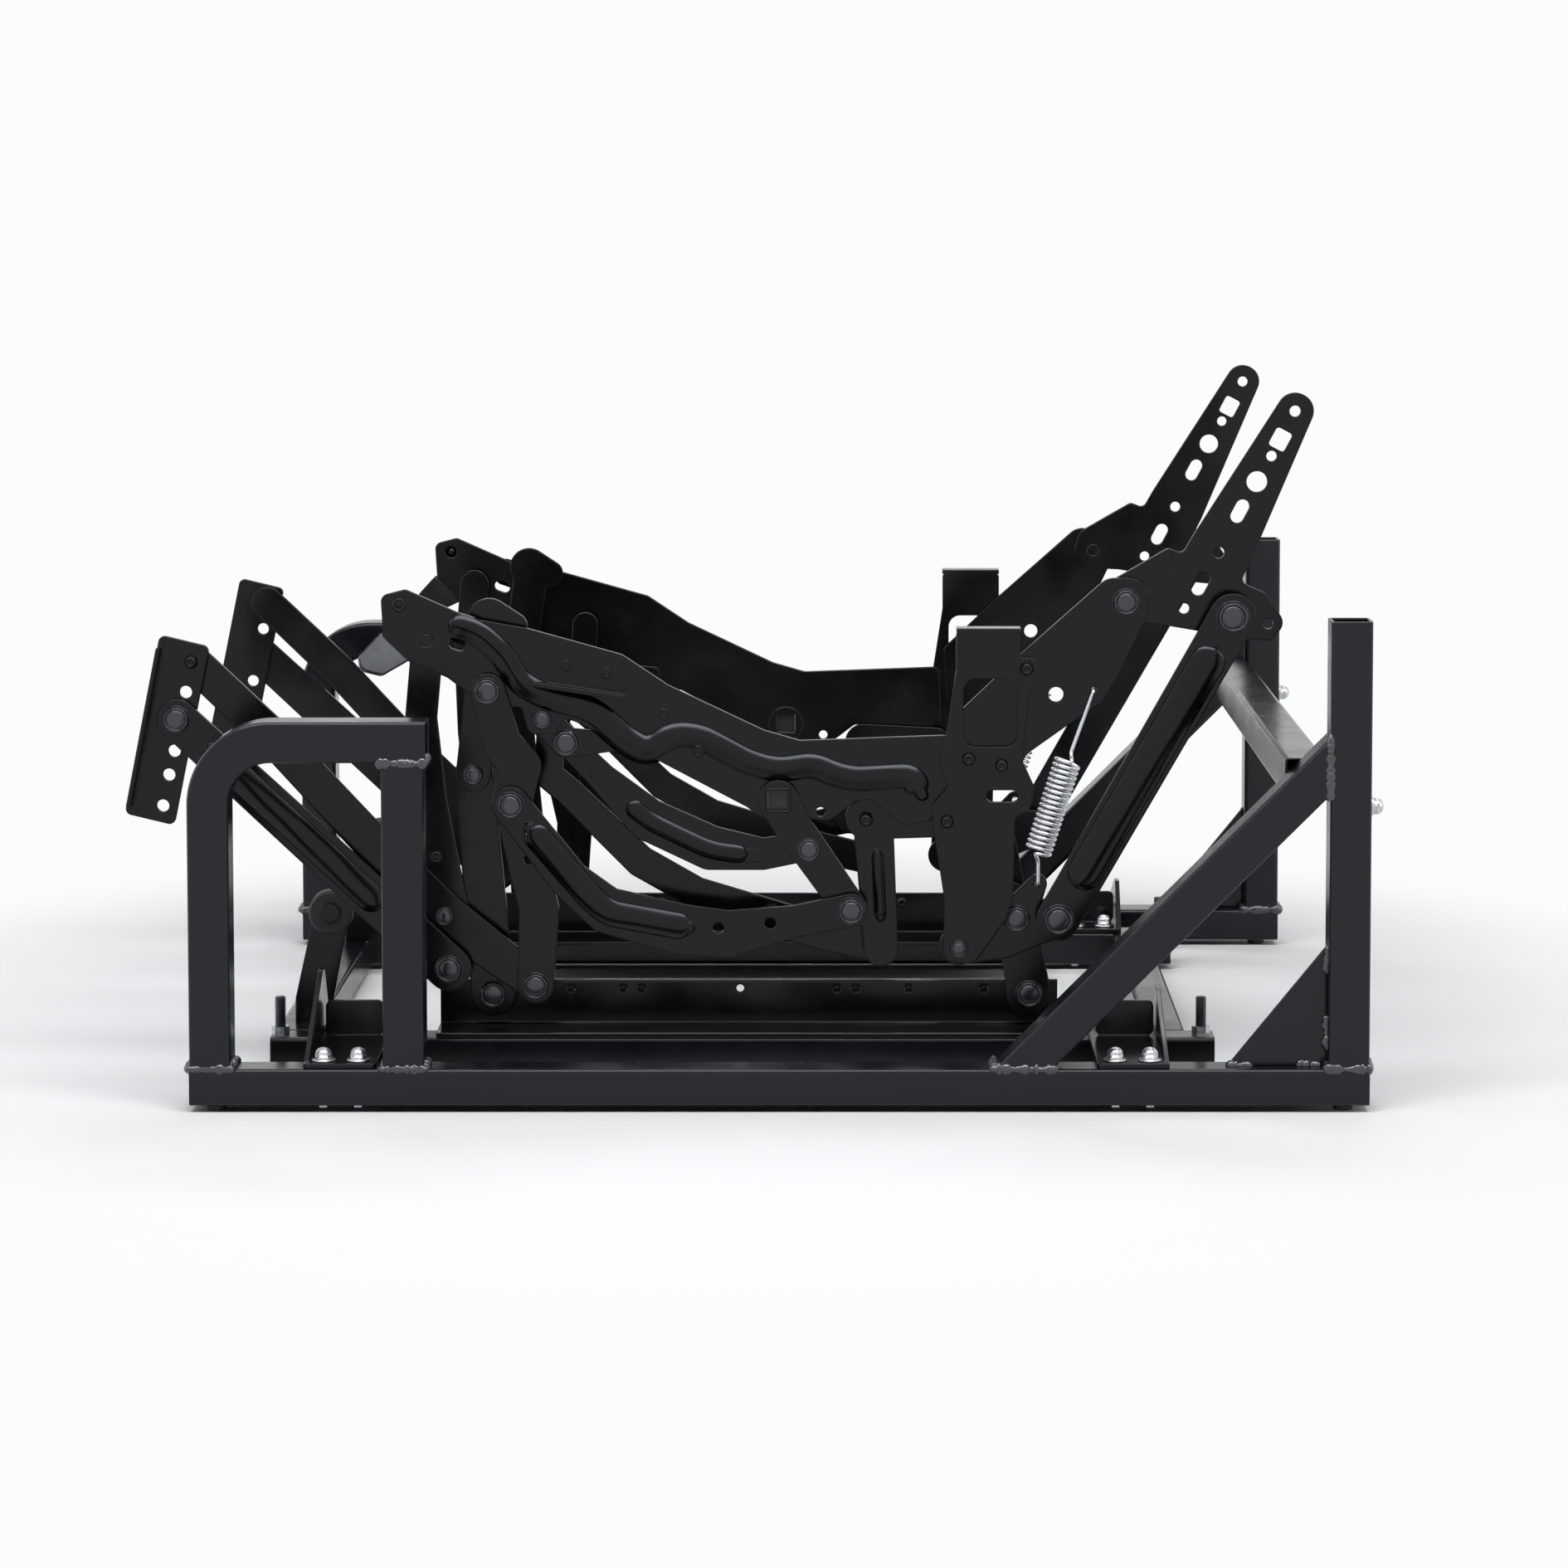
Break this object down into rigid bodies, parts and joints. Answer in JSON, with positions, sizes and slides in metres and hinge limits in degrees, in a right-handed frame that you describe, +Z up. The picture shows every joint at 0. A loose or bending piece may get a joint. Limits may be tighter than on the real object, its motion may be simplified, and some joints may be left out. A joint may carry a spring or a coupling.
{
  "type": "recliner lift mechanism",
  "caption": "Pair of recliner linkages with footrest arms, lift links and back brackets on a welded steel tube base.",
  "frame": {"origin": "on the floor under the centre of the whole mechanism's box", "axes": "+X towards the back, +Y to the seated person's right, +Z up"},
  "size_m": [0.7723, 0.58, 0.4296],
  "materials": {
    "powder_coated_steel": "semi-gloss black powder coat over welded tube",
    "coated_plate": "satin black e-coat over pressed plate",
    "zinc_hardware": "bright zinc-plated heads, studs and nuts",
    "spring_steel": "bright zinc-plated spring wire",
    "roller_nylon": "black moulded nylon roller",
    "foot_plastic": "black plastic foot buttons"
  },
  "bodies": {
    "base": {"side_rail_left": "powder_coated_steel", "side_rail_right": "powder_coated_steel", "front_bow_left": "powder_coated_steel", "front_bow_right": "powder_coated_steel", "front_post_left": "powder_coated_steel", "front_post_right": "powder_coated_steel", "rear_post_left": "powder_coated_steel", "rear_post_right": "powder_coated_steel", "brace_left": "powder_coated_steel", "brace_right": "powder_coated_steel", "gussets": "coated_plate", "feet": "foot_plastic", "inner_tubes": "powder_coated_steel", "cross_tubes": "powder_coated_steel", "base_angles": "coated_plate", "mounting_brackets": "coated_plate", "fasteners": "zinc_hardware", "roller_stands": "coated_plate"},
    "front_lift_left": {"front_lift_link_left": "coated_plate"},
    "seat_left": {"seat_rail_left": "coated_plate", "rear_upright_left": "coated_plate", "recline_arm_left": "coated_plate", "stabilizer_left": "coated_plate", "stay_left": "coated_plate", "spring_left": "spring_steel"},
    "rear_lift_left": {"rear_lift_link_left": "coated_plate"},
    "bellcrank_left": {"bellcrank_left": "coated_plate"},
    "back_left": {"back_bracket_left": "coated_plate"},
    "back_link_left": {"back_link_left": "coated_plate"},
    "swing_left": {"swing_link_left": "coated_plate"},
    "carrier_left": {"carrier_link_left": "coated_plate"},
    "lower_arm_left": {"lower_arm_left": "coated_plate"},
    "upper_arm_left": {"upper_arm_left": "coated_plate"},
    "footrest_left": {"footrest_bracket_left": "coated_plate"},
    "crank_left": {"crank_left": "coated_plate"},
    "drive_left": {"drive_link_left": "coated_plate"},
    "curved_left": {"curved_link_left": "coated_plate"},
    "leaf_left": {"leaf_plate_left": "coated_plate"},
    "roller_left": {"roller_left": "roller_nylon"},
    "front_lift_right": {"front_lift_link_right": "coated_plate"},
    "seat_right": {"seat_rail_right": "coated_plate", "rear_upright_right": "coated_plate", "recline_arm_right": "coated_plate", "stabilizer_right": "coated_plate", "stay_right": "coated_plate", "spring_right": "spring_steel"},
    "rear_lift_right": {"rear_lift_link_right": "coated_plate"},
    "bellcrank_right": {"bellcrank_right": "coated_plate"},
    "back_right": {"back_bracket_right": "coated_plate"},
    "back_link_right": {"back_link_right": "coated_plate"},
    "swing_right": {"swing_link_right": "coated_plate"},
    "carrier_right": {"carrier_link_right": "coated_plate"},
    "lower_arm_right": {"lower_arm_right": "coated_plate"},
    "upper_arm_right": {"upper_arm_right": "coated_plate"},
    "footrest_right": {"footrest_bracket_right": "coated_plate"},
    "crank_right": {"crank_right": "coated_plate"},
    "drive_right": {"drive_link_right": "coated_plate"},
    "curved_right": {"curved_link_right": "coated_plate"},
    "leaf_right": {"leaf_plate_right": "coated_plate"},
    "roller_right": {"roller_right": "roller_nylon"}
  },
  "joints": [
    {"name": "front_lift_turn_left", "type": "hinge", "parent": "base", "child": "front_lift_left", "pos_m": [-0.15785, -0.18, 0.0495], "axis": [0, 1, 0], "range_deg": [-7.2, 0]},
    {"name": "seat_tilt_left", "type": "hinge", "parent": "front_lift_left", "child": "seat_left", "pos_m": [-0.16935, -0.18, 0.1895], "axis": [0, 1, 0], "range_deg": [0, 3.8]},
    {"name": "rear_lift_turn_left", "type": "hinge", "parent": "base", "child": "rear_lift_left", "pos_m": [0.17965, -0.18, 0.0505], "axis": [0, 1, 0], "range_deg": [-7.9, 0]},
    {"name": "bellcrank_turn_left", "type": "hinge", "parent": "seat_left", "child": "bellcrank_left", "pos_m": [0.13515, -0.18, 0.0815], "axis": [0, 1, 0], "range_deg": [0, 29.2], "deforming": ["spring_left"]},
    {"name": "recline_left", "type": "hinge", "parent": "seat_left", "child": "back_left", "pos_m": [0.23915, -0.18, 0.299], "axis": [0, 1, 0], "range_deg": [0, 24]},
    {"name": "back_link_turn_left", "type": "hinge", "parent": "back_left", "child": "back_link_left", "pos_m": [0.30515, -0.18, 0.2905], "axis": [0, 1, 0], "range_deg": [-27.4, 0]},
    {"name": "footrest_left", "type": "hinge", "parent": "seat_left", "child": "swing_left", "pos_m": [-0.15935, -0.18, 0.2435], "axis": [0, 1, 0], "range_deg": [0, 50]},
    {"name": "carrier_turn_left", "type": "hinge", "parent": "seat_left", "child": "carrier_left", "pos_m": [-0.19735, -0.18, 0.275], "axis": [0, 1, 0], "range_deg": [0, 51]},
    {"name": "lower_arm_turn_left", "type": "hinge", "parent": "carrier_left", "child": "lower_arm_left", "pos_m": [-0.18735, -0.18, 0.1005], "axis": [0, 1, 0], "range_deg": [-36.1, 0]},
    {"name": "upper_arm_turn_left", "type": "hinge", "parent": "carrier_left", "child": "upper_arm_left", "pos_m": [-0.18435, -0.18, 0.0685], "axis": [0, 1, 0], "range_deg": [-34.6, 0]},
    {"name": "footrest_bracket_turn_left", "type": "hinge", "parent": "lower_arm_left", "child": "footrest_left", "pos_m": [-0.34435, -0.18, 0.2615], "axis": [0, 1, 0], "range_deg": [0, 27.3]},
    {"name": "crank_turn_left", "type": "hinge", "parent": "seat_left", "child": "crank_left", "pos_m": [0.02215, -0.18, 0.175], "axis": [0, 1, 0], "range_deg": [0, 51.5]},
    {"name": "drive_link_turn_left", "type": "hinge", "parent": "swing_left", "child": "drive_left", "pos_m": [-0.14485, -0.18, 0.1725], "axis": [0, 1, 0], "range_deg": [-43.1, 0]},
    {"name": "curved_link_turn_left", "type": "hinge", "parent": "crank_left", "child": "curved_left", "pos_m": [0.04115, -0.18, 0.144], "axis": [0, 1, 0], "range_deg": [-50.8, 0]},
    {"name": "leaf_turn_left", "type": "hinge", "parent": "seat_left", "child": "leaf_left", "pos_m": [-0.12535, -0.18, 0.2255], "axis": [0, 1, 0], "range_deg": [0, 88.1]},
    {"name": "roller_spin_left", "type": "hinge", "parent": "base", "child": "roller_left", "pos_m": [-0.26235, -0.148, 0.098], "axis": [0, 1, 0], "continuous": true},
    {"name": "front_lift_turn_right", "type": "hinge", "parent": "base", "child": "front_lift_right", "pos_m": [-0.15785, 0.18, 0.0495], "axis": [0, 1, 0], "range_deg": [-7.2, 0]},
    {"name": "seat_tilt_right", "type": "hinge", "parent": "front_lift_right", "child": "seat_right", "pos_m": [-0.16935, 0.18, 0.1895], "axis": [0, 1, 0], "range_deg": [0, 3.8]},
    {"name": "rear_lift_turn_right", "type": "hinge", "parent": "base", "child": "rear_lift_right", "pos_m": [0.17965, 0.18, 0.0505], "axis": [0, 1, 0], "range_deg": [-7.9, 0]},
    {"name": "bellcrank_turn_right", "type": "hinge", "parent": "seat_right", "child": "bellcrank_right", "pos_m": [0.13515, 0.18, 0.0815], "axis": [0, 1, 0], "range_deg": [0, 29.2], "deforming": ["spring_right"]},
    {"name": "recline_right", "type": "hinge", "parent": "seat_right", "child": "back_right", "pos_m": [0.23915, 0.18, 0.299], "axis": [0, 1, 0], "range_deg": [0, 24]},
    {"name": "back_link_turn_right", "type": "hinge", "parent": "back_right", "child": "back_link_right", "pos_m": [0.30515, 0.18, 0.2905], "axis": [0, 1, 0], "range_deg": [-27.4, 0]},
    {"name": "footrest_right", "type": "hinge", "parent": "seat_right", "child": "swing_right", "pos_m": [-0.15935, 0.18, 0.2435], "axis": [0, 1, 0], "range_deg": [0, 50]},
    {"name": "carrier_turn_right", "type": "hinge", "parent": "seat_right", "child": "carrier_right", "pos_m": [-0.19735, 0.18, 0.275], "axis": [0, 1, 0], "range_deg": [0, 51]},
    {"name": "lower_arm_turn_right", "type": "hinge", "parent": "carrier_right", "child": "lower_arm_right", "pos_m": [-0.18735, 0.18, 0.1005], "axis": [0, 1, 0], "range_deg": [-36.1, 0]},
    {"name": "upper_arm_turn_right", "type": "hinge", "parent": "carrier_right", "child": "upper_arm_right", "pos_m": [-0.18435, 0.18, 0.0685], "axis": [0, 1, 0], "range_deg": [-34.6, 0]},
    {"name": "footrest_bracket_turn_right", "type": "hinge", "parent": "lower_arm_right", "child": "footrest_right", "pos_m": [-0.34435, 0.18, 0.2615], "axis": [0, 1, 0], "range_deg": [0, 27.3]},
    {"name": "crank_turn_right", "type": "hinge", "parent": "seat_right", "child": "crank_right", "pos_m": [0.02215, 0.18, 0.175], "axis": [0, 1, 0], "range_deg": [0, 51.5]},
    {"name": "drive_link_turn_right", "type": "hinge", "parent": "swing_right", "child": "drive_right", "pos_m": [-0.14485, 0.18, 0.1725], "axis": [0, 1, 0], "range_deg": [-43.1, 0]},
    {"name": "curved_link_turn_right", "type": "hinge", "parent": "crank_right", "child": "curved_right", "pos_m": [0.04115, 0.18, 0.144], "axis": [0, 1, 0], "range_deg": [-50.8, 0]},
    {"name": "leaf_turn_right", "type": "hinge", "parent": "seat_right", "child": "leaf_right", "pos_m": [-0.12535, 0.18, 0.2255], "axis": [0, 1, 0], "range_deg": [0, 88.1]},
    {"name": "roller_spin_right", "type": "hinge", "parent": "base", "child": "roller_right", "pos_m": [-0.26235, 0.148, 0.098], "axis": [0, 1, 0], "continuous": true}
  ],
  "couplings": [
    {"joint": "front_lift_turn_left", "follows": "recline_left", "ratio": -0.3},
    {"joint": "seat_tilt_left", "follows": "recline_left", "ratio": 0.1583},
    {"joint": "rear_lift_turn_left", "follows": "recline_left", "ratio": -0.32779},
    {"joint": "bellcrank_turn_left", "follows": "recline_left", "ratio": 1.2129},
    {"joint": "back_link_turn_left", "follows": "recline_left", "ratio": -1.1388},
    {"joint": "carrier_turn_left", "follows": "footrest_left", "ratio": 1.0186},
    {"joint": "lower_arm_turn_left", "follows": "footrest_left", "ratio": -0.72026},
    {"joint": "upper_arm_turn_left", "follows": "footrest_left", "ratio": -0.69107},
    {"joint": "footrest_bracket_turn_left", "follows": "footrest_left", "ratio": 0.54465},
    {"joint": "crank_turn_left", "follows": "footrest_left", "ratio": 1.0287},
    {"joint": "drive_link_turn_left", "follows": "footrest_left", "ratio": -0.86126},
    {"joint": "curved_link_turn_left", "follows": "footrest_left", "ratio": -1.0157},
    {"joint": "leaf_turn_left", "follows": "footrest_left", "ratio": 1.7605},
    {"joint": "front_lift_turn_right", "follows": "recline_left", "ratio": -0.3},
    {"joint": "seat_tilt_right", "follows": "recline_left", "ratio": 0.1583},
    {"joint": "rear_lift_turn_right", "follows": "recline_left", "ratio": -0.32779},
    {"joint": "bellcrank_turn_right", "follows": "recline_left", "ratio": 1.2129},
    {"joint": "recline_right", "follows": "recline_left", "ratio": 1},
    {"joint": "back_link_turn_right", "follows": "recline_left", "ratio": -1.1388},
    {"joint": "footrest_right", "follows": "footrest_left", "ratio": 1},
    {"joint": "carrier_turn_right", "follows": "footrest_left", "ratio": 1.0186},
    {"joint": "lower_arm_turn_right", "follows": "footrest_left", "ratio": -0.72026},
    {"joint": "upper_arm_turn_right", "follows": "footrest_left", "ratio": -0.69107},
    {"joint": "footrest_bracket_turn_right", "follows": "footrest_left", "ratio": 0.54465},
    {"joint": "crank_turn_right", "follows": "footrest_left", "ratio": 1.0287},
    {"joint": "drive_link_turn_right", "follows": "footrest_left", "ratio": -0.86126},
    {"joint": "curved_link_turn_right", "follows": "footrest_left", "ratio": -1.0157},
    {"joint": "leaf_turn_right", "follows": "footrest_left", "ratio": 1.7605}
  ]
}
